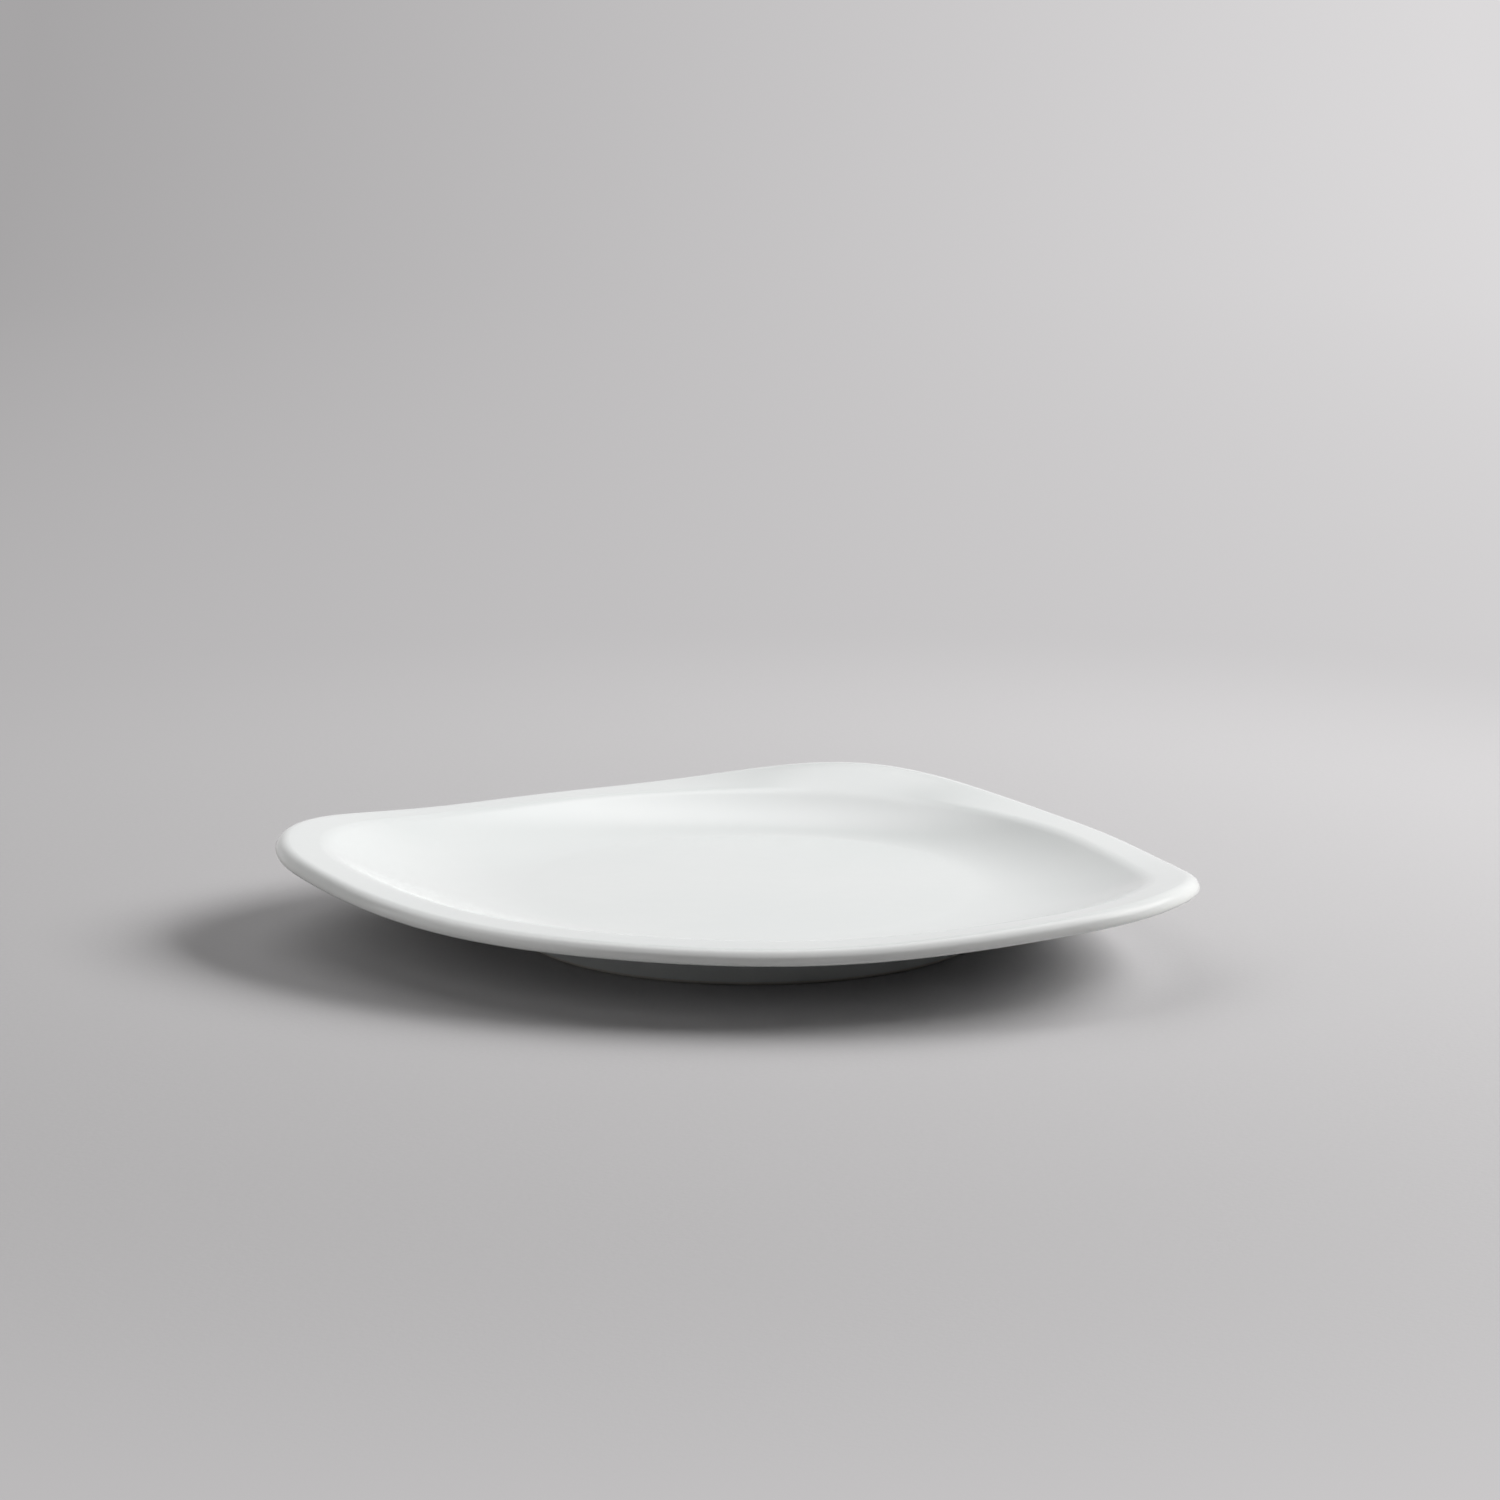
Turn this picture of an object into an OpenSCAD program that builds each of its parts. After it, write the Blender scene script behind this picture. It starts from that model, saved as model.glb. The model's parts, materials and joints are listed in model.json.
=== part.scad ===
// Dessert plate: a three-cornered plate of glazed porcelain on a round foot ring.
// X runs from the left corner to the right corner, Y from the front side to the back corner,
// Z up from the surface that the plate stands on. The origin is the middle of the foot.

/* [Outline] */
// Width over the two side corners
plate_w = 206; // [196:1:220]
// Depth from the front side to the back corner
plate_d = 172; // [166:1:184]
// Radius of the two side corners
side_corner_r = 50; // [40:1:56]
// Radius of the back corner
back_corner_r = 79; // [60:1:82]
// How far in front of the middle the side corners lie
corner_set = 15; // [8:1:20]
// Radius of the two back sides
back_side_r = 183; // [160:1:260]

/* [Heights] */
// Height of the lip at the middle of a side
side_h = 16.3; // [14:0.1:22]
// How much higher the lip is at a corner
corner_lift = 4.8; // [0:0.1:8]
// How far the rim climbs from the well to the lip at a side corner
rim_rise = 1.3; // [0:0.1:4]
// How far the rim climbs from the well to the lip at the back corner
back_rise = 4.8; // [0:0.1:7]
// Height of the well floor
floor_h = 9.6; // [8:0.1:10]

/* [Rim and well] */
// Width of the rim along the sides
rim_w = 10.1; // [8:0.1:16]
// Width of the rim at the side corners
corner_rim_w = 11.1; // [8:0.1:18]
// Width of the rim at the back corner
back_rim_w = 16; // [10:0.1:26]
// Length of the rounded shoulder on either side of the well's edge
shoulder = 1.8; // [1.5:0.1:4]
// Diameter of the flat floor
floor_d = 102; // [80:1:110]
// Length of well wall that makes it steepen one power later on its way up
wall_bend = 30; // [20:1:60]
// Share of the wall's climb that is even all the way from the floor
wall_even = 0.1; // [0:0.05:0.6]

/* [Thickness] */
// Thickness of the rounded lip
lip_t = 3.3; // [2.4:0.1:4]
// How far in from its edge the lip is rounded on top
lip_reach = 2.8; // [2:0.1:4]
// Height of the lip's edge above its underside
lip_low = 1; // [0.8:0.1:1.6]
// Thickness under the shoulder
rim_t = 3.8; // [3:0.1:5]
// How late the back steepens on its way up to the rim
back_curve = 1.5; // [1.3:0.1:2.4]
// Thickness of the glaze
glaze_t = 0.4; // [0.2:0.05:0.6]

/* [Foot] */
// Outer diameter of the foot ring, without its glaze
foot_d = 103; // [90:1:110]
// Width of the foot ring
foot_w = 4.6; // [3:0.1:8]
// Height of the foot ring
foot_h = 5; // [3.6:0.1:5.6]
// Height of the bare edge that the plate stands on
bare_h = 0.9; // [0.6:0.1:1.2]
// Rounding of the bare edge
edge_r = 0.7; // [0.3:0.1:1]

/* [Smoothness] */
// Length of one facet along the lip
facet = 8; // [6:0.5:14]
// Facets across the well wall, and across the back
wall_rows = 5; // [3:1:8]
// Facets across the shoulder, and above and below the edge of the lip
round_rows = 3; // [2:1:5]

/* [Hidden] */
$fn = 96;
porcelain = [0.90, 0.88, 0.84];
glaze = [0.91, 0.93, 0.92];

// Corners run right, back, left; side i runs from corner i to the next one
corner_x = plate_w / 2 - side_corner_r;
corner_c = [
    [corner_x, -corner_set],
    [0, plate_d / 2 - back_corner_r],
    [-corner_x, -corner_set]
];
corner_r = [side_corner_r, back_corner_r, side_corner_r];

// The front side is the arc that touches both side corners and the front of the plate
corner_y = plate_d / 2 - corner_set;
front_side_r = (corner_x ^ 2 + corner_y ^ 2 - side_corner_r ^ 2) / (2 * (corner_y - side_corner_r));
side_r = [back_side_r, back_side_r, front_side_r];

foot_r = foot_d / 2;
foot_in_r = foot_r - foot_w;

// Point at distance d1 from a and d2 from b, on the left of the way from a to b
function meet(a, b, d1, d2) =
    let (
        way = b - a,
        gap = norm(way),
        along = (d1 ^ 2 - d2 ^ 2 + gap ^ 2) / (2 * gap),
        aside = sqrt(d1 ^ 2 - along ^ 2)
    )
    a + way * along / gap + [-way.y, way.x] * aside / gap;

function heading(a, b) = atan2(b.y - a.y, b.x - a.x);
function turn(from, to) = (to - from + 720) % 360;
function mix(a, b, share) = a + (b - a) * share;
function next(i) = (i + 1) % 3;
function before(i) = (i + 2) % 3;

side_c = [
    for (i = [0:2])
        meet(corner_c[i], corner_c[next(i)], side_r[i] - corner_r[i], side_r[i] - corner_r[next(i)])
];

// Arcs of the outline, each as centre, radius, first angle and sweep
function corner_arc(i) =
    let (a = heading(side_c[before(i)], corner_c[i]))
    [corner_c[i], corner_r[i], a, turn(a, heading(side_c[i], corner_c[i]))];
function side_arc(i) =
    let (a = heading(side_c[i], corner_c[i]))
    [side_c[i], side_r[i], a, turn(a, heading(side_c[i], corner_c[next(i)]))];
arcs = [for (i = [0:2]) each [corner_arc(i), side_arc(i)]];

// Points along the lip, and the way straight out of the plate at each
stations = [
    for (arc = arcs)
        let (steps = max(3, round(arc[1] * arc[3] * PI / 180 / facet)))
        for (s = [0:steps - 1])
            let (a = arc[2] + arc[3] * s / steps, out = [cos(a), sin(a)])
            [arc[0] + arc[1] * out, out]
];
count = len(stations);
lip_edge = [for (s = stations) s[0]];
lip_out = [for (s = stations) s[1]];

// Way around the plate: 0 at the right corner, 1 at the back one, 2 at the left one
corner_a = [for (c = corner_c) heading([0, 0], c)];
function way_round(p) =
    let (
        a = turn(corner_a[0], heading([0, 0], p)),
        back = turn(corner_a[0], corner_a[1]),
        left = turn(corner_a[0], corner_a[2])
    )
    a < back ? a / back : a < left ? 1 + (a - back) / (left - back) : 2 + (a - left) / (360 - left);

// Share of the corner lift: 1 at a corner, 0 at the middle of a side
function lift(p) = cos(180 * way_round(p)) ^ 4;
function rise(p) = lift(p) * (abs(way_round(p) - 1) < 0.5 ? back_rise : rim_rise);

// The back of the well is one arc, which leaves back_rim_w at the corner and runs into both sides
well_side_r = back_side_r - rim_w;
well_back = plate_d / 2 - back_rim_w;
well_rise = well_back - side_c[0].y;
well_back_r = (well_side_r ^ 2 - well_rise ^ 2 - side_c[0].x ^ 2) / (2 * (well_side_r - well_rise));
well_back_c = [0, well_back - well_back_r];
well_end = (well_back_c - side_c[0]).y / norm(well_back_c - side_c[0]);

// Way straight in from lip point j to that arc, as far as the arc goes
function back_rim(j) =
    let (from = lip_edge[j] - well_back_c, ahead = from * lip_out[j])
    lip_out[j].y < well_end ? 0 : ahead - sqrt(well_back_r ^ 2 - from * from + ahead ^ 2);
rims = [
    for (j = [0:count - 1])
        max(mix(rim_w, corner_rim_w, lift(lip_edge[j])), back_rim(j))
];
well_edge = lip_edge - [for (j = [0:count - 1]) lip_out[j] * rims[j]];

// The section at lip point j is a list of [distance in from the lip, height]
function lip_z(j) = side_h + corner_lift * lift(lip_edge[j]);
function well_z(j) = lip_z(j) - rise(lip_edge[j]);
function tilt(j) = atan2(lip_z(j) - well_z(j), rims[j] - lip_reach);

// The lip is well rounded above its edge, and tightly below
function lip_point(j, a) =
    let (
        deep = a > 0 ? lip_reach : lip_low,
        tall = a > 0 ? lip_t - lip_low : lip_low
    )
    [deep - deep * cos(a), lip_z(j) - lip_t + lip_low + tall * sin(a)];

// Wall from the well's edge in to radius r: height z_in there, z_out at the edge
function wall_point(j, share, r, z_in, z_out, power, even) =
    let (climb = mix((1 - share) ^ power, 1 - share, even))
    [rims[j] + share * (norm(well_edge[j]) - r), mix(z_in, z_out, climb)];
function wall_curve(j) = 1 + (norm(well_edge[j]) - floor_d / 2) / wall_bend;
function well_wall(j, share) =
    wall_point(j, share, floor_d / 2, floor_h, well_z(j), wall_curve(j), wall_even);
function back_wall(j, share) =
    wall_point(j, share, foot_r + glaze_t, foot_h, well_z(j) - rim_t, back_curve, 0);
function curve(a, b, c, share) = mix(mix(a, b, share), mix(b, c, share), share);

function face_path(j) =
    let (
        first = shoulder / (norm(well_edge[j]) - floor_d / 2),
        crown = [rims[j], well_z(j)],
        lip = lip_point(j, 90 + tilt(j)),
        inside = well_wall(j, first),
        outside = mix(crown, lip, shoulder / (rims[j] - lip.x))
    )
    [
        for (s = [0:wall_rows - 1])
            well_wall(j, mix(1, first, s / wall_rows)),
        for (s = [0:round_rows]) curve(inside, crown, outside, s / round_rows),
        for (s = [0:round_rows]) lip_point(j, (90 + tilt(j)) * (1 - s / round_rows))
    ];

function back_path(j) =
    let (
        first = shoulder / (norm(well_edge[j]) - foot_r - glaze_t),
        crown = [rims[j], well_z(j) - rim_t],
        lip = lip_point(j, tilt(j) - 90),
        inside = back_wall(j, first),
        outside = mix(crown, lip, shoulder / (rims[j] - lip.x))
    )
    [
        for (s = [1:round_rows]) lip_point(j, (tilt(j) - 90) * s / round_rows),
        for (s = [0:round_rows]) curve(outside, crown, inside, s / round_rows),
        for (s = [1:wall_rows])
            back_wall(j, mix(first, 1, s / wall_rows))
    ];

// The same path one glaze thickness inside the surface
function sunk(path) = [
    for (i = [1:len(path) - 2])
        let (way = path[i + 1] - path[i - 1])
        path[i] + [-way.y, way.x] * glaze_t / norm(way)
];

// The first point sinks straight down, and the last one ends on the foot ring
function coat_path(j) = concat(face_path(j), back_path(j));
function body_path(j) =
    let (path = coat_path(j))
    [path[0] - [0, glaze_t], each sunk(path), path[len(path) - 1] + [glaze_t, 0]];

function place(j, p) =
    let (
        past = p.x - rims[j],
        at = past < 0
            ? mix(well_edge[j], lip_edge[j], -past / rims[j])
            : well_edge[j] * (1 - past / norm(well_edge[j]))
    )
    [at.x, at.y, p.y];

// Each path point gives one ring of points around the plate
function rings(paths) = [
    for (i = [0:len(paths[0]) - 1]) [for (j = [0:count - 1]) place(j, paths[j][i])]
];
function slice(list, first, last) = [for (i = [first:last]) list[i]];
function reverse(list) = [for (i = [len(list) - 1:-1:0]) list[i]];

coat_rings = rings([for (j = [0:count - 1]) coat_path(j)]);
body_rings = rings([for (j = [0:count - 1]) body_path(j)]);
lip_row = len(face_path(0)) - 1;
last_row = len(coat_rings) - 1;

// Triangles between rings a and b. Surfaces that touch run opposite ways, so one of them leans
// its triangles the other way and both have the same facets
function band(a, b, lean) = [
    for (j = [0:count - 1])
        let (
            k = (j + 1) % count,
            cut = lean ? b * count + j : b * count + k,
            start = lean ? a * count + k : a * count + j
        )
        each [
            [a * count + j, a * count + k, cut],
            [start, b * count + k, b * count + j]
        ]
];

// Closed surface through rings that start and end in a flat round face. From row turned on,
// the rings run back along the inside
module capped(rows, turned) {
    last = len(rows) - 1;
    middle = len(rows) * count;
    middles = [[0, 0, rows[0][0].z], [0, 0, rows[last][0].z]];
    points = [for (row = rows) each row, each middles];
    faces = [
        for (i = [0:last - 1]) each band(i, i + 1, i >= turned),
        for (j = [0:count - 1]) [middle, (j + 1) % count, j],
        for (j = [0:count - 1]) [middle + 1, last * count + j, last * count + (j + 1) % count]
    ];
    polyhedron(points, faces);
}

// Closed surface through rings that come round to the first one again
module looped(rows, turned) {
    points = [for (row = rows) each row];
    faces = [for (i = [0:len(rows) - 1]) each band(i, (i + 1) % len(rows), i >= turned)];
    polyhedron(points, faces);
}

// Fired dish: well, rim and lip
module porcelain_body() {
    color(porcelain) capped(body_rings, len(body_rings));
}

// Ring that carries the dish, with a bare rounded edge to stand on
module foot_ring() {
    quarter = [for (s = [0:3]) 30 * s];
    color(porcelain)
        rotate_extrude()
            polygon([
                [foot_in_r, foot_h],
                for (a = quarter) [foot_in_r + edge_r - edge_r * cos(a), edge_r - edge_r * sin(a)],
                for (a = reverse(quarter)) [foot_r - edge_r + edge_r * cos(a), edge_r - edge_r * sin(a)],
                [foot_r, foot_h]
            ]);
}

// Glaze over the well, the rim and the top of the lip
module face_glaze() {
    outside = slice(coat_rings, 0, lip_row);
    inside = reverse(slice(body_rings, 0, lip_row));
    color(glaze) capped(concat(outside, inside), len(outside));
}

// Glaze under the lip and down the back to the foot ring
module back_glaze() {
    outside = slice(coat_rings, lip_row, last_row);
    inside = reverse(slice(body_rings, lip_row, last_row));
    color(glaze) looped(concat(outside, inside), len(outside));
}

// Glaze on the outer wall of the foot ring, down to the bare edge
module foot_wall_glaze() {
    color(glaze)
        rotate_extrude()
            translate([foot_r, bare_h]) square([glaze_t, foot_h - bare_h]);
}

// Glaze inside the foot ring: across the underside and down the inner wall
module foot_well_glaze() {
    color(glaze)
        rotate_extrude()
            polygon([
                [0, foot_h],
                [0, foot_h - glaze_t],
                [foot_in_r - glaze_t, foot_h - glaze_t],
                [foot_in_r - glaze_t, bare_h],
                [foot_in_r, bare_h],
                [foot_in_r, foot_h]
            ]);
}

porcelain_body();
foot_ring();
face_glaze();
back_glaze();
foot_wall_glaze();
foot_well_glaze();
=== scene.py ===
"""Dessert plate of glazed porcelain, dressed around its solid model."""
import json
import math

import bmesh
import bpy
from bpy.props import FloatProperty, FloatVectorProperty, IntProperty, PointerProperty
from mathutils import Matrix, Vector


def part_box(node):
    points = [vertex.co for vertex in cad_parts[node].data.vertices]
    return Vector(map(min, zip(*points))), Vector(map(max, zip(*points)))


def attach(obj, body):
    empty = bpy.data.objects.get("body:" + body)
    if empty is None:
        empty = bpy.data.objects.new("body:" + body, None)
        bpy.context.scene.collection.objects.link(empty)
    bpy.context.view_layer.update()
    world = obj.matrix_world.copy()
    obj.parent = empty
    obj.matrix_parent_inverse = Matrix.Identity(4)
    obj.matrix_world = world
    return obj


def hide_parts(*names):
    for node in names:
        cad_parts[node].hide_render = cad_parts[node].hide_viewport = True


bl_info = {
    "name": "Dessert Plate",
    "version": (1, 0, 0),
    "blender": (4, 5, 0),
    "location": "View3D > Sidebar > Plate",
    "description": "Builds a three-cornered dessert plate of glazed porcelain",
    "category": "Add Mesh",
}

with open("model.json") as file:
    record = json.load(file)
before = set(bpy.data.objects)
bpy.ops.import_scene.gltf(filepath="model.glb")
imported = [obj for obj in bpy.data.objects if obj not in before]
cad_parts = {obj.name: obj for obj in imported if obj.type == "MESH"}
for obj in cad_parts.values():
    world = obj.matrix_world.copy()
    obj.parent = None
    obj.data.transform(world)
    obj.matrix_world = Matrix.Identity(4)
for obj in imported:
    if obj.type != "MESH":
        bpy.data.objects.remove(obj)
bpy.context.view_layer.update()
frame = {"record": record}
FACE_LOW, FACE_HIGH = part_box("face_glaze")
BODY_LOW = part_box("porcelain_body")[0]
FOOT_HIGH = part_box("foot_ring")[1]
FOOT_WALL_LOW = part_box("foot_wall_glaze")[0]
MOUNTS = {mount["name"]: Vector(mount["pos_m"]) for mount in frame["record"]["mounts"]}

TAU = 2 * math.pi
QUARTER = math.pi / 2
WHITE = (1, 1, 1)
BLACK = (0, 0, 0)

# Side of the photograph in pixels, and width of the camera's sensor in millimetres
IMAGE_SIDE = 1500
SENSOR = 36

# Distance in metres within which two points are one, and angle past which an edge is sharp
MERGE = 1e-6
SHARP = math.radians(40)

# Sockets of a colour Mix node, and the value that noise lies around
MIX_SHARE, MIX_A, MIX_B, MIX_RESULT = 0, 6, 7, 2
NOISE_MIDDLE = 0.5


def length(name, default, description):
    """A size in metres."""
    return FloatProperty(name=name, default=default, description=description, unit="LENGTH", precision=5)


def colour(name, default, description):
    """A linear colour."""
    return FloatVectorProperty(
        name=name, default=default, description=description, subtype="COLOR", size=3, min=0, max=1
    )


def number(name, default, description):
    """A plain number."""
    return FloatProperty(name=name, default=default, description=description, precision=4)


def angle(name, degrees, description):
    """An angle, stated in degrees."""
    return FloatProperty(name=name, default=math.radians(degrees), description=description, subtype="ANGLE")


def watts(name, default, description):
    """The power of a lamp."""
    return FloatProperty(name=name, default=default, description=description, subtype="POWER")


def count(name, default, description):
    """A number of steps."""
    return IntProperty(name=name, default=default, description=description, min=3)


class PlateShape(bpy.types.PropertyGroup):
    """Sizes of the plate."""

    width: length("Width", FACE_HIGH.x - FACE_LOW.x, "Width over the two side corners")
    depth: length("Depth", FACE_HIGH.y - FACE_LOW.y, "Depth from the front side to the back corner")
    side_corner_radius: length("Side corner radius", 0.050, "Radius of the two side corners")
    back_corner_radius: length("Back corner radius", 0.079, "Radius of the back corner")
    corner_set: length("Corner set", 0.015, "How far in front of the middle the side corners lie")
    back_side_radius: length("Back side radius", 0.183, "Radius of the two back sides")

    corner_height: length("Corner height", FACE_HIGH.z, "Height of the lip at a corner")
    corner_lift: length("Corner lift", 0.0048, "How much higher the lip is at a corner than along a side")
    lift_narrow: number("Lift narrowness", 4, "How closely the lift keeps to the corners")
    rim_rise: length("Rim rise", 0.0013, "How far the rim climbs to the lip at a side corner")
    back_rise: length("Back rise", 0.0048, "How far the rim climbs to the lip at the back corner")
    floor_height: length("Floor height", MOUNTS["well_floor"].z, "Height of the well floor")

    rim_width: length("Rim width", 0.0101, "Width of the rim along the sides")
    corner_rim_width: length("Corner rim width", 0.0111, "Width of the rim at the side corners")
    back_rim_width: length("Back rim width", 0.016, "Width of the rim at the back corner")
    shoulder: length("Shoulder", 0.0018, "Length of the rounded shoulder on either side of the well's edge")
    floor_radius: length("Floor radius", 0.051, "Radius of the flat floor")
    wall_bend: length("Wall bend", 0.030, "Length of well wall that makes it steepen one power later")
    wall_even: number("Wall even", 0.1, "Share of the well wall's climb that is even all the way")
    floor_edge: length("Floor edge", 0.0015, "Width of the ring over which the floor turns into the wall")

    lip_thickness: length("Lip thickness", 0.0033, "Thickness of the rounded lip")
    lip_reach: length("Lip reach", 0.0028, "How far in from its edge the lip is rounded on top")
    lip_low: length("Lip low", 0.001, "Height of the lip's edge above its underside")
    rim_thickness: length("Rim thickness", 0.0038, "Thickness under the shoulder")
    back_curve: number("Back curve", 1.5, "How late the back steepens on its way up to the rim")
    glaze_thickness: length("Glaze thickness", BODY_LOW.x - FACE_LOW.x, "Thickness of the glaze")

    foot_radius: length("Foot radius", FOOT_HIGH.x, "Outer radius of the foot ring, without its glaze")
    foot_width: length("Foot width", 0.0046, "Width of the foot ring")
    foot_height: length("Foot height", FOOT_HIGH.z, "Height of the foot ring")
    bare_height: length("Bare height", FOOT_WALL_LOW.z, "Height of the bare edge that the plate stands on")
    edge_radius: length("Edge radius", 0.0007, "Rounding of the bare edge")
    pool_radius: length("Pool radius", 0.0006, "Radius of the glaze pooled in the corner over the foot")

    steps: count("Steps around", 360, "Steps around the plate")
    wall_rows: count("Wall rows", 18, "Rows up the well wall, and up the back")
    round_rows: count("Round rows", 12, "Rows over the shoulder, and above and below the lip's edge")
    flat_rows: count("Flat rows", 5, "Rows across the floor, across the rim, and over the pooled glaze")
    edge_rows: count("Edge rows", 5, "Rows round the bare edge")


class PlateFinish(bpy.types.PropertyGroup):
    """Colours, gloss and grain of the plate."""

    glaze: colour("Glaze", (0.821, 0.842, 0.833), "White of the glaze")
    glaze_cloud: colour("Glaze cloud", (0.803, 0.828, 0.820), "Cooler white where it lies thicker")
    glaze_thin: colour("Thin glaze", (0.835, 0.842, 0.822), "Warmer white where it thins over the lip")
    glaze_roughness: number("Glaze roughness", 0.13, "Roughness of the glaze")
    glaze_index: number("Glaze index", 1.52, "Index of refraction of the glaze")
    cloud_scale: number("Cloud scale", 22, "Clouds in the glaze to the metre")
    cloud_low: number("Cloud low", 0.3, "Noise at which a cloud begins")
    cloud_high: number("Cloud high", 0.7, "Noise at which a cloud is full")
    cloud_roughness: number("Cloud roughness", 0.04, "How far the roughness changes with the clouds")
    ripple_scale: number("Ripple scale", 150, "Ripples in the glaze to the metre")
    ripple_height: length("Ripple height", 0.00002, "Height of the ripples in the glaze")

    bisque: colour("Bare porcelain", (0.74, 0.715, 0.66), "Bare fired porcelain")
    bisque_worn: colour("Worn porcelain", (0.52, 0.50, 0.47), "Bare porcelain rubbed grey on tables")
    bisque_roughness: number("Bare roughness", 0.72, "Roughness of the bare porcelain")
    grain_scale: number("Grain scale", 2600, "Grains of the bare porcelain to the metre")
    grain_height: length("Grain height", 0.00004, "Height of the grain")
    grain_tone: number("Grain tone", 0.2, "How far the grain goes to the worn colour")
    grain_roughness: number("Grain roughness", 0.1, "How far the roughness changes with the grain")
    wear_scale: number("Wear scale", 90, "Rubbed patches to the metre")
    wear_low: number("Wear low", 0.42, "Noise at which a rubbed patch begins")
    wear_high: number("Wear high", 0.62, "Noise at which a rubbed patch is full")
    wear_tone: number("Wear tone", 0.5, "How far a rubbed patch goes to the worn colour")
    wear_start: length("Wear start", 0.0001, "Height up to which the foot is fully rubbed")
    wear_end: length("Wear end", 0.0005, "Height past which the foot isn't rubbed")


class PlateStage(bpy.types.PropertyGroup):
    """Floor, light and camera."""

    # Painted shade and light: the paper's own grey, painted darker on the left and lighter on the right,
    # where the side light falls
    floor_left_shaded: colour("Floor left", (0.430, 0.421, 0.425), "Pale grey paper on the shaded side")
    floor_right_lit: colour("Floor right", (0.640, 0.627, 0.633), "Pale grey paper on the lit side")
    fibre_scale: number("Fibre scale", 900, "Fibres of the paper to the metre")
    fibre_tone: number("Fibre tone", 0.06, "How far the fibres go to white")
    fibre_height: length("Fibre height", 0.00003, "Height of the fibres")
    # Painted light: the backdrop glows by itself, darker on the left and brighter on the right, as if lit
    # from the right
    backdrop_left_shaded: colour("Backdrop left", (0.385, 0.376, 0.380), "Backdrop on the shaded side")
    backdrop_right_lit: colour("Backdrop right", (0.715, 0.701, 0.708), "Backdrop on the lit side")
    backdrop_half: length("Backdrop half width", 0.41, "Half of the width over which the tones change")
    lit_radius: length("Lit radius", 0.2, "Radius of the floor that shows the plate's shadow")
    backdrop_radius: length("Backdrop radius", 0.4, "Radius at which the floor has become the backdrop")
    sweep_radius: length("Sweep radius", 1.4, "Radius at which the floor turns up")
    sweep_height: length("Sweep height", 0.9, "Height of the backdrop")
    sweep_rows: count("Sweep rows", 16, "Rows up the bend between floor and backdrop")
    sweep_steps: count("Sweep steps", 96, "Steps around the floor and backdrop")

    key_power: watts("Key power", 40, "Power of the side light")
    key_distance: length("Key distance", 1.7, "Distance of the side light from the plate")
    key_heading: angle("Key heading", 22, "Heading of the side light, counted back from the camera's right")
    key_height: angle("Key height", 34, "Height of the side light above the floor")
    key_width: length("Key width", 1.62, "Width of the side light")
    key_depth: length("Key depth", 0.704, "Height of the side light's face")
    top_power: watts("Top power", 8.8, "Power of the overhead light")
    top_height: length("Top height", 1.25, "Height of the overhead light")
    top_back: length("Top back", 0.8, "How far behind the plate the overhead light hangs")
    top_left: length("Top left", 0.45, "How far to the left of the plate the overhead light hangs")
    top_width: length("Top width", 1.5, "Width of the overhead light")
    side_power: watts("Side power", 2.7, "Power of the fill light on the left")
    side_distance: length("Side distance", 1.2, "Distance of the fill light from the plate")
    side_heading: angle("Side heading", 200, "Heading of the fill light, counted as the side light's")
    side_height: angle("Side height", 30, "Height of the fill light above the floor")
    side_width: length("Side width", 1.0, "Width and height of the fill light")

    fill: colour("Fill", (0.03, 0.03, 0.03), "Light that comes from everywhere")
    # The glaze's painted reflections: the sky's colour, brighter overhead and around the side light, in
    # place of the lamps' own images
    sky: colour("Sky", (0.72, 0.706, 0.713), "What the glaze mirrors of the studio")
    overhead: number("Overhead", 3.0, "How many times the sky is added overhead, as the glaze mirrors it")
    overhead_low: angle("Overhead low", 37, "Height at which the mirrored studio starts to brighten")
    overhead_high: angle("Overhead high", 58, "Height at which the mirrored studio is at its brightest")
    key_mirror: number("Key mirror", 2.5, "How many times the sky is added around the mirrored side light")
    key_mirror_size: angle("Key mirror size", 26, "Half of the angle that the mirrored side light takes up")
    key_mirror_core: angle("Key mirror core", 13, "Half of the angle of its evenly bright middle")

    camera_heading: angle("Camera heading", 17.94, "Turn of the camera about the plate")
    camera_pitch: angle("Camera pitch", 11.45, "How far the camera looks down")
    camera_distance: length("Camera distance", 1.00084, "Distance to the plate, along the camera's view")
    camera_focal: number("Camera focal length", 4516.97, "Focal length in pixels of the image")
    origin_across: number("Origin across", 751.41, "Pixel column of the middle of the foot")
    origin_down: number("Origin down", 927.92, "Pixel row of the middle of the foot")


def mix(first, second, share):
    """The value that lies share of the way from first to second."""
    return first + (second - first) * share


def shares(rows, end=False):
    """Equal shares from 0 to 1, with or without the end."""
    return [row / rows for row in range(rows + end)]


def rounded(first, first_way, last, last_way, share):
    """Point of a curve that leaves first and reaches last along these ways, each a third of the gap."""
    pull = (last - first).length / 3
    ahead = first + pull * first_way.normalized()
    behind = last - pull * last_way.normalized()
    middle = mix(ahead, behind, share)
    start = mix(mix(first, ahead, share), middle, share)
    return mix(start, mix(middle, mix(behind, last, share), share), share)


def heading_of(way):
    """Heading of a flat vector."""
    return math.atan2(way.y, way.x)


def meet(first, second, first_distance, second_distance):
    """Point at these distances from two points, on the left of the way between them."""
    way = second - first
    gap = way.length
    along = (first_distance ** 2 - second_distance ** 2 + gap ** 2) / (2 * gap)
    aside = math.sqrt(first_distance ** 2 - along ** 2)
    return first + way * (along / gap) + Vector((-way.y, way.x)) * (aside / gap)


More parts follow.
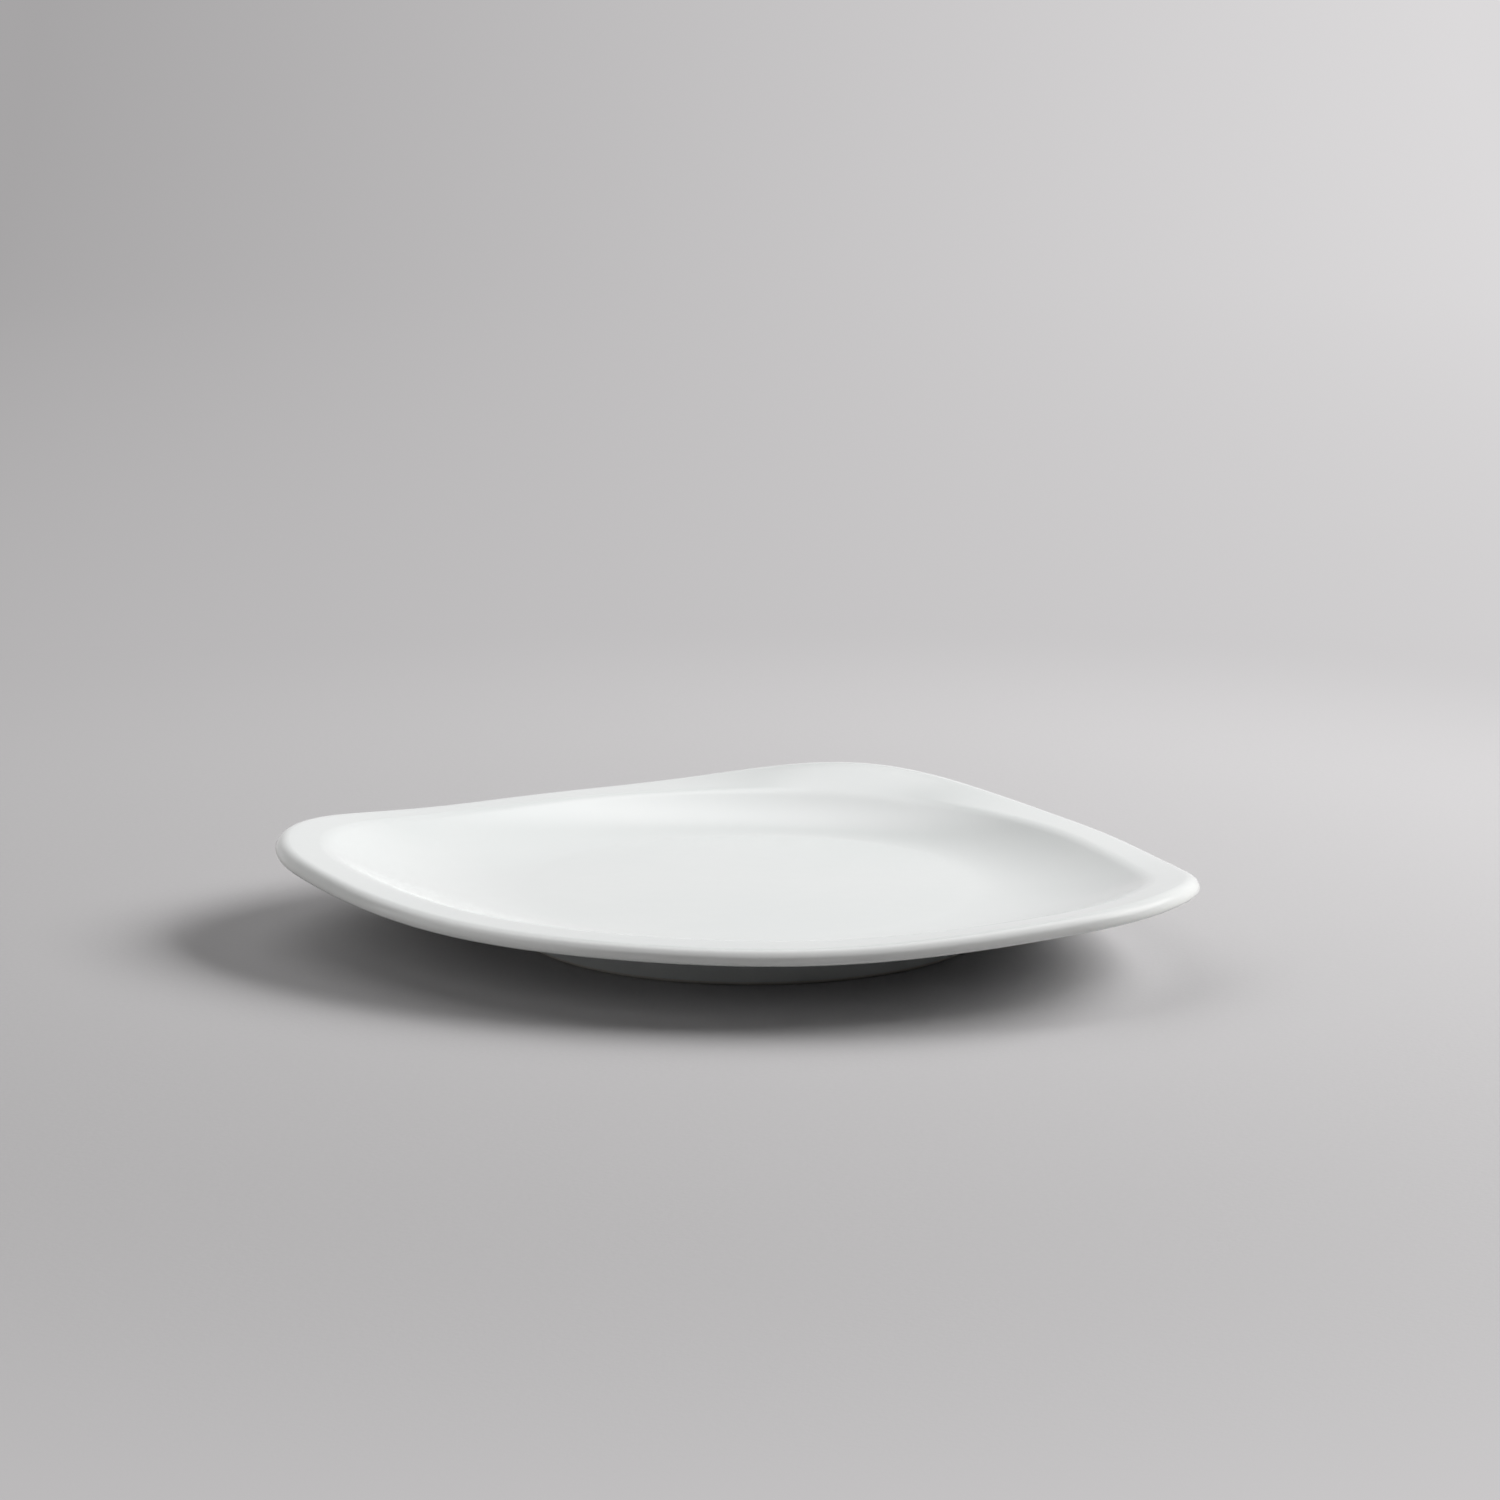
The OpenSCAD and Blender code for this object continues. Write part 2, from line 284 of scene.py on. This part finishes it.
class Outline:
    """The three-cornered outline: six arcs, each found by the heading of the way out of the plate."""

    def __init__(self, shape):
        self.shape = shape
        corner_x = shape.width / 2 - shape.side_corner_radius
        corner_y = shape.depth / 2 - shape.corner_set
        radii = [shape.side_corner_radius, shape.back_corner_radius, shape.side_corner_radius]
        corners = [
            Vector((corner_x, -shape.corner_set)),
            Vector((0, shape.depth / 2 - shape.back_corner_radius)),
            Vector((-corner_x, -shape.corner_set)),
        ]
        front_radius = (corner_x ** 2 + corner_y ** 2 - radii[0] ** 2) / (2 * (corner_y - radii[0]))
        side_radii = [shape.back_side_radius, shape.back_side_radius, front_radius]
        sides = [
            meet(corners[i], corners[i - 2], side_radii[i] - radii[i], side_radii[i] - radii[i - 2])
            for i in range(3)
        ]
        self.arcs = []
        for i in range(3):
            start = heading_of(corners[i] - sides[i - 1])
            middle = heading_of(corners[i] - sides[i])
            end = heading_of(corners[i - 2] - sides[i])
            self.arcs.append((corners[i], radii[i], start, (middle - start) % TAU))
            self.arcs.append((sides[i], side_radii[i], middle, (end - middle) % TAU))
        self.corner_headings = [heading_of(corner) % TAU for corner in corners]
        self.set_well(sides[0])

    def set_well(self, side):
        """The back of the well: one arc that leaves the back rim and runs into both sides."""
        side_radius = self.shape.back_side_radius - self.shape.rim_width
        back = self.shape.depth / 2 - self.shape.back_rim_width
        rise = back - side.y
        self.well_radius = (side_radius ** 2 - rise ** 2 - side.x ** 2) / (2 * (side_radius - rise))
        self.well_centre = Vector((0, back - self.well_radius))
        self.well_end = (self.well_centre - side).normalized().y

    def lip(self, heading):
        """Point of the lip where the way out of the plate has this heading."""
        for centre, radius, start, sweep in self.arcs:
            if (heading - start) % TAU <= sweep:
                return centre + radius * Vector((math.cos(heading), math.sin(heading)))
        raise ValueError(f"no arc of the outline has heading {heading:.4f}")

    def way_round(self, point):
        """Way around the plate: 0 at the right corner, 1 at the back one, 2 at the left one."""
        right, back, left = self.corner_headings
        turn = (heading_of(point) - right) % TAU
        to_back = (back - right) % TAU
        to_left = (left - right) % TAU
        if turn < to_back:
            return turn / to_back
        if turn < to_left:
            return 1 + (turn - to_back) / (to_left - to_back)
        return 2 + (turn - to_left) / (TAU - to_left)

    def lift(self, point):
        """Share of the corner lift: 1 at a corner, 0 at the middle of a side."""
        return abs(math.cos(math.pi * self.way_round(point))) ** self.shape.lift_narrow

    def rise(self, point):
        """How far the rim climbs from the well to the lip: most at the back corner, least along a side."""
        nearest_is_back = round(self.way_round(point)) == 1
        return self.lift(point) * (self.shape.back_rise if nearest_is_back else self.shape.rim_rise)

    def rim(self, point, out):
        """Width of the rim at a point of the lip."""
        width = mix(self.shape.rim_width, self.shape.corner_rim_width, self.lift(point))
        if out.y < self.well_end:
            return width
        away = point - self.well_centre
        ahead = away.dot(out)
        return max(width, ahead - math.sqrt(self.well_radius ** 2 - away.length_squared + ahead ** 2))


class Section:
    """Half section of the plate at one heading. A point is the distance in from the lip, and a height."""

    def __init__(self, shape, outline, heading):
        self.shape = shape
        self.out = Vector((math.cos(heading), math.sin(heading)))
        self.lip = outline.lip(heading)
        self.rim = outline.rim(self.lip, self.out)
        self.well = self.lip - self.rim * self.out
        self.lip_z = shape.corner_height - shape.corner_lift * (1 - outline.lift(self.lip))
        self.well_z = self.lip_z - outline.rise(self.lip)
        self.tilt = math.atan2(self.lip_z - self.well_z, self.rim - shape.lip_reach)
        self.wall_curve = 1 + (self.well.length - shape.floor_radius) / shape.wall_bend

    def lip_point(self, turn):
        """Point of the lip: well rounded above its edge, and tightly below."""
        low = self.shape.lip_low
        tall = self.shape.lip_thickness - low if turn > 0 else low
        deep = self.shape.lip_reach if turn > 0 else low
        edge_z = self.lip_z - self.shape.lip_thickness + low
        return Vector((deep - deep * math.cos(turn), edge_z + tall * math.sin(turn)))

    def wall(self, radius, inner_z, outer_z, power, even, lip):
        """Rows of a wall, its rounded shoulder and the rim, from the radius out to the lip."""
        reach = self.well.length - radius
        rise = outer_z - inner_z
        top = 1 - self.shape.shoulder / reach
        crown = Vector((self.rim, outer_z))
        outside = mix(crown, lip, self.shape.shoulder / (self.rim - lip.x))

        def climb(share):
            height = inner_z + rise * mix(share ** power, share, even)
            return Vector((self.rim + (1 - share) * reach, height))

        inside = climb(top)
        uphill = Vector((-reach, rise * mix(power * top ** (power - 1), 1, even)))
        points = [climb(top * share) for share in shares(self.shape.wall_rows)]
        points += [
            rounded(inside, uphill, outside, lip - crown, share) for share in shares(self.shape.round_rows)
        ]
        points += [mix(outside, lip, share) for share in shares(self.shape.flat_rows)]
        return points

    def face(self):
        """Surface of the glaze from the middle of the floor out to the lip."""
        shape = self.shape
        start = QUARTER + self.tilt
        flat = shape.floor_radius - shape.floor_edge
        points = [
            Vector((self.rim + self.well.length - flat * share, shape.floor_height))
            for share in shares(shape.flat_rows, end=True)
        ]
        points += self.wall(
            shape.floor_radius, shape.floor_height, self.well_z, self.wall_curve, shape.wall_even,
            self.lip_point(start),
        )
        points += [self.lip_point(start * (1 - share)) for share in shares(shape.round_rows)]
        return points

    def back(self):
        """Surface of the glaze from the lip in to the foot ring."""
        shape = self.shape
        end = self.tilt - QUARTER
        points = [self.lip_point(end * share) for share in shares(shape.round_rows, end=True)]
        wall = self.wall(
            shape.foot_radius + shape.glaze_thickness, shape.foot_height, self.well_z - shape.rim_thickness,
            shape.back_curve, 0, self.lip_point(end),
        )
        return points + wall[::-1]

    def sunk(self, points):
        """The same points one glaze thickness inside the surface."""
        depth = self.shape.glaze_thickness
        inner = [points[0] - Vector((0, depth))]
        for before, point, after in zip(points, points[1:], points[2:]):
            way = (after - before).normalized()
            inner.append(point + depth * Vector((-way.y, way.x)))
        return inner + [points[-1] + Vector((depth, 0))]

    def place(self, point):
        """Where a point of the section lies on the plate."""
        past = point.x - self.rim
        if past < 0:
            flat = mix(self.well, self.lip, -past / self.rim)
        else:
            flat = self.well * (1 - past / self.well.length)
        return flat.to_3d() + Vector((0, 0, point.y))


def sections(shape):
    """A section at every step around the plate."""
    outline = Outline(shape)
    return [Section(shape, outline, TAU * step / shape.steps) for step in range(shape.steps)]


def turned(points, steps, closed=False):
    """A bmesh turned about Z from points of radius and height, with each vertex's row kept."""
    mesh = bmesh.new()
    row = mesh.verts.layers.int.new("row")
    chain = [mesh.verts.new((point.x, 0, point.y)) for point in points]
    for index, vertex in enumerate(chain):
        vertex[row] = index
    edges = [mesh.edges.new(pair) for pair in zip(chain, chain[1:])]
    if closed:
        edges.append(mesh.edges.new((chain[-1], chain[0])))
    bmesh.ops.spin(
        mesh, geom=chain + edges, cent=(0, 0, 0), axis=(0, 0, 1), angle=TAU, steps=steps, use_merge=True
    )
    bmesh.ops.remove_doubles(mesh, verts=mesh.verts, dist=MERGE)
    bmesh.ops.recalc_face_normals(mesh, faces=mesh.faces)
    return mesh


def pressed(shape, paths):
    """A bmesh turned as a round dish and then pressed into the plate's outline, one path per step."""
    first = [Vector((point.to_2d().length, point.z)) for point in paths[0]]
    mesh = turned(first, shape.steps)
    row = mesh.verts.layers.int["row"]
    for vertex in mesh.verts:
        if vertex.co.to_2d().length > MERGE:
            step = round(heading_of(vertex.co) / TAU * shape.steps) % shape.steps
            vertex.co = paths[step][vertex[row]]
    bmesh.ops.recalc_face_normals(mesh, faces=mesh.faces)
    return mesh


def on_table(edge):
    """Whether an edge lies on the table."""
    return max(vertex.co.z for vertex in edge.verts) < MERGE


def on_ring(edge):
    """Whether an edge runs round the plate, not across it."""
    first, second = (vertex.co.to_2d().length for vertex in edge.verts)
    return abs(first - second) < MERGE


def finished(name, mesh, finish):
    """An object from a bmesh, smooth but for its real edges."""
    data = bpy.data.meshes.new(name)
    mesh.to_mesh(data)
    mesh.free()
    data.shade_smooth()
    data.set_sharp_from_angle(angle=SHARP)
    data.materials.append(finish)
    piece = bpy.data.objects.new(name, data)
    bpy.context.scene.collection.objects.link(piece)
    return piece


def seated(piece, slot, *nodes):
    """Rides a piece on the plate in place of its solids."""
    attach(piece, "root")
    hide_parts(*nodes)


class Wire:
    """A socket of a node tree, so that sums on it are written as plain expressions."""

    def __init__(self, finish, socket):
        self.finish = finish
        self.socket = socket

    def math(self, operation, first, second):
        """A Math node on two values."""
        return self.finish.node("ShaderNodeMath", {"operation": operation}, {0: first, 1: second})

    def __add__(self, other):
        return self.math("ADD", self, other)

    __radd__ = __add__

    def __sub__(self, other):
        return self.math("SUBTRACT", self, other)

    def __rsub__(self, other):
        return self.math("SUBTRACT", other, self)

    def __mul__(self, other):
        return self.math("MULTIPLY", self, other)

    __rmul__ = __mul__


class Finish:
    """A node tree that makes one finish."""

    def __init__(self, owner):
        owner.use_nodes = True
        self.owner = owner
        self.tree = owner.node_tree
        self.tree.nodes.clear()

    def node(self, kind, settings=None, inputs=None, output=0):
        """Adds a node, sets it up, links or sets its inputs and gives one output, if it has any."""
        node = self.tree.nodes.new(kind)
        for name, value in (settings or {}).items():
            setattr(node, name, value)
        for name, value in (inputs or {}).items():
            if isinstance(value, Wire):
                self.tree.links.new(value.socket, node.inputs[name])
            else:
                node.inputs[name].default_value = value
        return Wire(self, node.outputs[output]) if node.outputs else None

    def place(self):
        """Position on the object, in metres."""
        return self.node("ShaderNodeTexCoord", output="Object")

    def coordinate(self, vector, axis):
        """One coordinate of a vector."""
        return self.node("ShaderNodeSeparateXYZ", None, {"Vector": vector}, axis)

    def along(self, way, axis):
        """How far a way goes along an axis."""
        return self.node("ShaderNodeVectorMath", {"operation": "DOT_PRODUCT"}, {0: way, 1: axis}, "Value")

    def noise(self, scale, detail):
        """Soft noise with this many clouds to the metre."""
        return self.node(
            "ShaderNodeTexNoise", None, {"Vector": self.place(), "Scale": scale, "Detail": detail}, "Fac"
        )

    def ramp(self, value, low, high):
        """Eases from 0 at low to 1 at high."""
        return self.node(
            "ShaderNodeMapRange", {"interpolation_type": "SMOOTHSTEP"},
            {"Value": value, "From Min": low, "From Max": high},
        )

    def blend(self, share, first, second):
        """A mix of two colours."""
        first, second = (tint if isinstance(tint, Wire) else (*tint, 1) for tint in (first, second))
        return self.node(
            "ShaderNodeMix", {"data_type": "RGBA"},
            {MIX_SHARE: share, MIX_A: first, MIX_B: second}, MIX_RESULT,
        )

    def bump(self, height, distance):
        """A bumpy normal from a height of 0 to 1."""
        return self.node("ShaderNodeBump", None, {"Height": height, "Strength": 1, "Distance": distance})

    def ray(self, kind):
        """1 for rays of this kind, and 0 for others."""
        return self.node("ShaderNodeLightPath", output=kind)

    def shown(self):
        """1 for rays that show the stage, straight or mirrored, and 0 for rays that light it."""
        return self.ray("Is Camera Ray") + self.ray("Is Glossy Ray") + self.ray("Is Transmission Ray")

    def paint(self, inputs):
        """A Principled shader."""
        return self.node("ShaderNodeBsdfPrincipled", None, inputs)

    def either(self, share, first, second):
        """A mix of two shaders."""
        return self.node("ShaderNodeMixShader", None, {0: share, 1: first, 2: second})

    def ended(self, shader, output="ShaderNodeOutputMaterial"):
        """Ends the tree in a shader, and gives the material or world that it makes."""
        self.node(output, None, {"Surface": shader})
        return self.owner


def shared(make, name, look):
    """The material of this name, made when the first piece asks for it."""
    return bpy.data.materials.get(name) or make(name, look)


def glaze_finish(name, look):
    """Gloss glaze: cool white, faintly clouded, a little warmer where it thins over the lip."""
    finish = Finish(bpy.data.materials.new(name))
    cloud = finish.noise(look.cloud_scale, detail=2)
    ripple = finish.noise(look.ripple_scale, detail=1)
    thin = finish.node("ShaderNodeAttribute", {"attribute_name": "thin"}, output="Fac")
    clouded = finish.ramp(cloud, look.cloud_low, look.cloud_high)
    white = finish.blend(clouded, look.glaze, look.glaze_cloud)
    return finish.ended(finish.paint({
        "Base Color": finish.blend(thin, white, look.glaze_thin),
        "Roughness": look.glaze_roughness + look.cloud_roughness * (cloud - NOISE_MIDDLE),
        "IOR": look.glaze_index,
        "Normal": finish.bump(ripple, look.ripple_height),
    }))


def bisque_finish(name, look):
    """Bare porcelain: matt and fine-grained, rubbed grey where it stands on tables."""
    finish = Finish(bpy.data.materials.new(name))
    grain = finish.noise(look.grain_scale, detail=2)
    patch = finish.noise(look.wear_scale, detail=3)
    height = finish.coordinate(finish.place(), "Z")
    low = 1 - finish.ramp(height, look.wear_start, look.wear_end)
    rubbed = low * finish.ramp(patch, look.wear_low, look.wear_high)
    worn = look.wear_tone * rubbed + look.grain_tone * grain
    return finish.ended(finish.paint({
        "Base Color": finish.blend(worn, look.bisque, look.bisque_worn),
        "Roughness": look.bisque_roughness + look.grain_roughness * (grain - NOISE_MIDDLE),
        "Normal": finish.bump(grain, look.grain_height),
    }))


def sweep_finish(stage):
    """Grey paper that takes the plate's shadow, with painted shade on the left and painted light on the
    right; past that a glowing backdrop, graded from left to right as painted light, which gives the glaze a
    painted reflection.
    """
    finish = Finish(bpy.data.materials.new("paper_sweep"))
    fibre = finish.noise(stage.fibre_scale, detail=2)
    flat = finish.node(
        "ShaderNodeMapping", None, {"Vector": finish.place(), "Rotation": (0, 0, -stage.camera_heading)}
    )
    away = finish.node("ShaderNodeVectorMath", {"operation": "LENGTH"}, {0: flat}, "Value")
    side = finish.node("ShaderNodeMapRange", None, {
        "Value": finish.coordinate(flat, "X"),
        "From Min": -stage.backdrop_half,
        "From Max": stage.backdrop_half,
    })
    matt = {"Specular IOR Level": 0, "Roughness": 1}
    # The paper's grey, with painted shade towards the left and painted light towards the right
    tone = finish.blend(side, stage.floor_left_shaded, stage.floor_right_lit)
    paper = finish.paint({
        **matt,
        "Base Color": finish.blend(stage.fibre_tone * fibre, tone, WHITE),
        "Normal": finish.bump(fibre, stage.fibre_height),
    })
    # The backdrop glows as painted light, graded darker to the left; glossy rays see the sky's colour
    # instead, a painted reflection
    seen = finish.blend(side, stage.backdrop_left_shaded, stage.backdrop_right_lit)
    glow = finish.paint({
        **matt,
        "Base Color": (*BLACK, 1),
        "Emission Color": finish.blend(finish.ray("Is Glossy Ray"), seen, stage.sky),
        "Emission Strength": 1,
    })
    # Seen by the rays that light the stage, the backdrop is dark paint of the fill's colour and bounces
    # almost no light onto the plate
    unlit = finish.paint({**matt, "Base Color": (*stage.fill, 1)})
    backdrop = finish.either(finish.shown(), unlit, glow)
    faded = finish.ramp(away, stage.lit_radius, stage.backdrop_radius)
    return finish.ended(finish.either(faded, paper, backdrop))


def studio_finish(stage, key_way):
    """Even fill, and in the glaze a painted reflection of the studio, brighter overhead and around the side
    light, that only glossy rays see.
    """
    finish = Finish(bpy.data.worlds.new("studio"))
    way = finish.node("ShaderNodeTexCoord", output="Generated")
    height = finish.coordinate(way, "Z")
    above = finish.ramp(height, math.sin(stage.overhead_low), math.sin(stage.overhead_high))
    towards = finish.along(way, key_way)
    near = finish.ramp(towards, math.cos(stage.key_mirror_size), math.cos(stage.key_mirror_core))
    # Painted reflections of the overhead and side lights, added for glossy rays only
    added = stage.overhead * above + stage.key_mirror * near
    shade = finish.node("ShaderNodeBackground", None, {
        "Color": finish.blend(finish.shown(), stage.fill, stage.sky),
        "Strength": 1 + added * finish.ray("Is Glossy Ray"),
    })
    return finish.ended(shade, "ShaderNodeOutputWorld")


def aimed(distance, heading, height):
    """Spot at this distance, heading and height."""
    flat = distance * math.cos(height)
    return Vector((flat * math.cos(heading), flat * math.sin(heading), distance * math.sin(height)))


def hung(name, power, width, depth, spot, mirrored):
    """An area light that faces the plate, with or without its own mirror image in the glaze."""
    data = bpy.data.lights.new(name, "AREA")
    data.shape = "RECTANGLE"
    data.energy = power
    data.size = width
    data.size_y = depth
    lamp = bpy.data.objects.new(name, data)
    lamp.location = spot
    lamp.rotation_euler = (-spot).to_track_quat("-Z", "Y").to_euler()
    lamp.visible_camera = False
    lamp.visible_glossy = mirrored
    bpy.context.scene.collection.objects.link(lamp)


class DESSERT_PLATE_OT_body(bpy.types.Operator):
    """Builds the fired dish under the glaze"""

    bl_idname = "dessert_plate.body"
    bl_label = "Porcelain body"

    def execute(self, context):
        shape = context.scene.plate_shape
        finish = shared(bisque_finish, "bare_porcelain", context.scene.plate_finish)
        paths = []
        for section in sections(shape):
            inner = section.sunk(section.face() + section.back())
            path = [section.place(point) for point in inner]
            paths.append(path + [Vector((0, 0, shape.foot_height))])
        body = finished("porcelain_dish", pressed(shape, paths), finish)
        seated(body, "porcelain", "porcelain_body")
        return {"FINISHED"}


class DESSERT_PLATE_OT_glaze(bpy.types.Operator):
    """Builds the glaze over the face, round the lip and down the back"""

    bl_idname = "dessert_plate.glaze"
    bl_label = "Glaze coat"

    def execute(self, context):
        shape = context.scene.plate_shape
        finish = shared(glaze_finish, "gloss_glaze", context.scene.plate_finish)
        cuts = sections(shape)
        paths = []
        for section in cuts:
            outer = section.face() + section.back()
            around = outer + section.sunk(outer)[::-1]
            paths.append([section.place(point) for point in around])
        mesh = pressed(shape, paths)
        row = mesh.verts.layers.int["row"]
        thin = mesh.verts.layers.float.new("thin")
        lip_row = len(cuts[0].face())
        for vertex in mesh.verts:
            vertex[thin] = max(0, 1 - abs(vertex[row] - lip_row) / shape.round_rows)
        coat = finished("glaze_coat", mesh, finish)
        seated(coat, "glaze", "face_glaze", "back_glaze")
        return {"FINISHED"}


class DESSERT_PLATE_OT_foot(bpy.types.Operator):
    """Builds the foot ring with its bare rounded edge"""

    bl_idname = "dessert_plate.foot"
    bl_label = "Foot ring"

    def execute(self, context):
        shape = context.scene.plate_shape
        finish = shared(bisque_finish, "bare_porcelain", context.scene.plate_finish)
        inner = shape.foot_radius - shape.foot_width
        ring = [
            Vector((inner, shape.foot_height)), Vector((inner, 0)),
            Vector((shape.foot_radius, 0)), Vector((shape.foot_radius, shape.foot_height)),
        ]
        mesh = turned(ring, shape.steps, closed=True)
        edges = [edge for edge in mesh.edges if on_table(edge) and on_ring(edge)]
        bmesh.ops.bevel(
            mesh, geom=edges, offset=shape.edge_radius, affect="EDGES", segments=shape.edge_rows,
            profile=0.5, material=-1,
        )
        foot = finished("bare_foot", mesh, finish)
        seated(foot, "porcelain", "foot_ring")
        return {"FINISHED"}


class DESSERT_PLATE_OT_foot_glaze(bpy.types.Operator):
    """Builds the glaze on the foot's outer wall and the glaze inside the foot"""

    bl_idname = "dessert_plate.foot_glaze"
    bl_label = "Foot glaze"

    def execute(self, context):
        shape = context.scene.plate_shape
        finish = shared(glaze_finish, "gloss_glaze", context.scene.plate_finish)
        thick = shape.glaze_thickness
        outer = shape.foot_radius + thick
        inner = shape.foot_radius - shape.foot_width
        pool = [
            Vector((outer + shape.pool_radius * (1 - math.cos(QUARTER * share)),
                    shape.foot_height - shape.pool_radius * (1 - math.sin(QUARTER * share))))
            for share in shares(shape.flat_rows, end=True)
        ]
        wall = [
            Vector((shape.foot_radius, shape.foot_height)), Vector((shape.foot_radius, shape.bare_height)),
            Vector((outer, shape.bare_height)), *pool,
        ]
        piece = finished("foot_wall_coat", turned(wall, shape.steps, closed=True), finish)
        seated(piece, "glaze", "foot_wall_glaze")
        well = [
            Vector((0, shape.foot_height)), Vector((inner, shape.foot_height)),
            Vector((inner, shape.bare_height)), Vector((inner - thick, shape.bare_height)),
            Vector((inner - thick, shape.foot_height - thick)), Vector((0, shape.foot_height - thick)),
        ]
        piece = finished("foot_well_coat", turned(well, shape.steps), finish)
        seated(piece, "glaze", "foot_well_glaze")
        return {"FINISHED"}


class DESSERT_PLATE_OT_stage(bpy.types.Operator):
    """Builds the paper sweep, the lights and the camera"""

    bl_idname = "dessert_plate.stage"
    bl_label = "Stage"

    def execute(self, context):
        scene = context.scene
        stage = scene.plate_stage
        turn = Matrix.Rotation(stage.camera_heading, 3, "Z")
        scene.view_settings.view_transform = "Standard"
        self.sweep(stage)
        self.light(scene, stage, turn)
        self.camera(scene, stage, turn)
        return {"FINISHED"}

    def sweep(self, stage):
        """Round floor that curves up into the backdrop."""
        bend = stage.sweep_height / 2
        profile = [Vector((0, 0))]
        profile += [
            Vector((stage.sweep_radius + bend * math.sin(QUARTER * share),
                    bend - bend * math.cos(QUARTER * share)))
            for share in shares(stage.sweep_rows, end=True)
        ]
        profile.append(Vector((stage.sweep_radius + bend, stage.sweep_height)))
        mesh = turned(profile, stage.sweep_steps)
        bmesh.ops.reverse_faces(mesh, faces=mesh.faces)
        finished("paper_sweep", mesh, sweep_finish(stage))

    def light(self, scene, stage, turn):
        """Large soft light from the right, softer light overhead, and fill from the left and all round."""
        key = turn @ aimed(stage.key_distance, stage.key_heading, stage.key_height)
        side = turn @ aimed(stage.side_distance, stage.side_heading, stage.side_height)
        top = turn @ Vector((-stage.top_left, stage.top_back, stage.top_height))
        # The key and overhead lights stay out of the glaze; the world paints their reflections instead
        hung("key_light", stage.key_power, stage.key_width, stage.key_depth, key, mirrored=False)
        hung("fill_light", stage.side_power, stage.side_width, stage.side_width, side, mirrored=True)
        hung("top_light", stage.top_power, stage.top_width, stage.top_width, top, mirrored=False)
        scene.world = studio_finish(stage, key.normalized())

    def camera(self, scene, stage, turn):
        """Camera at the viewing angle of the photograph."""
        axes = turn @ Matrix.Rotation(QUARTER - stage.camera_pitch, 3, "X")
        per_pixel = stage.camera_distance / stage.camera_focal
        across = (stage.origin_across - IMAGE_SIDE / 2) * per_pixel
        down = (stage.origin_down - IMAGE_SIDE / 2) * per_pixel
        data = bpy.data.cameras.new("camera")
        data.sensor_width = SENSOR
        data.lens = SENSOR * stage.camera_focal / IMAGE_SIDE
        camera = bpy.data.objects.new("camera", data)
        camera.location = axes @ Vector((-across, down, stage.camera_distance))
        camera.rotation_euler = axes.to_euler()
        scene.collection.objects.link(camera)
        scene.camera = camera


OPERATORS = (
    DESSERT_PLATE_OT_body,
    DESSERT_PLATE_OT_glaze,
    DESSERT_PLATE_OT_foot,
    DESSERT_PLATE_OT_foot_glaze,
    DESSERT_PLATE_OT_stage,
)


class DESSERT_PLATE_PT_panel(bpy.types.Panel):
    """Lists the plate's pieces and its stage"""

    bl_idname = "DESSERT_PLATE_PT_panel"
    bl_label = "Dessert Plate"
    bl_space_type = "VIEW_3D"
    bl_region_type = "UI"
    bl_category = "Plate"

    def draw(self, context):
        for operator in OPERATORS:
            self.layout.operator(operator.bl_idname)


GROUPS = {"plate_shape": PlateShape, "plate_finish": PlateFinish, "plate_stage": PlateStage}
CLASSES = (*GROUPS.values(), *OPERATORS, DESSERT_PLATE_PT_panel)


def register():
    """Adds the classes, and the plate's settings to every scene."""
    for cls in CLASSES:
        bpy.utils.register_class(cls)
    for name, group in GROUPS.items():
        setattr(bpy.types.Scene, name, PointerProperty(type=group))


def unregister():
    """Takes the settings and the classes away again."""
    for name in GROUPS:
        delattr(bpy.types.Scene, name)
    for cls in reversed(CLASSES):
        bpy.utils.unregister_class(cls)


def main():
    """Builds the plate on its stage."""
    register()
    bpy.ops.dessert_plate.body()
    bpy.ops.dessert_plate.glaze()
    bpy.ops.dessert_plate.foot()
    bpy.ops.dessert_plate.foot_glaze()
    bpy.ops.dessert_plate.stage()


if __name__ == "__main__":
    main()
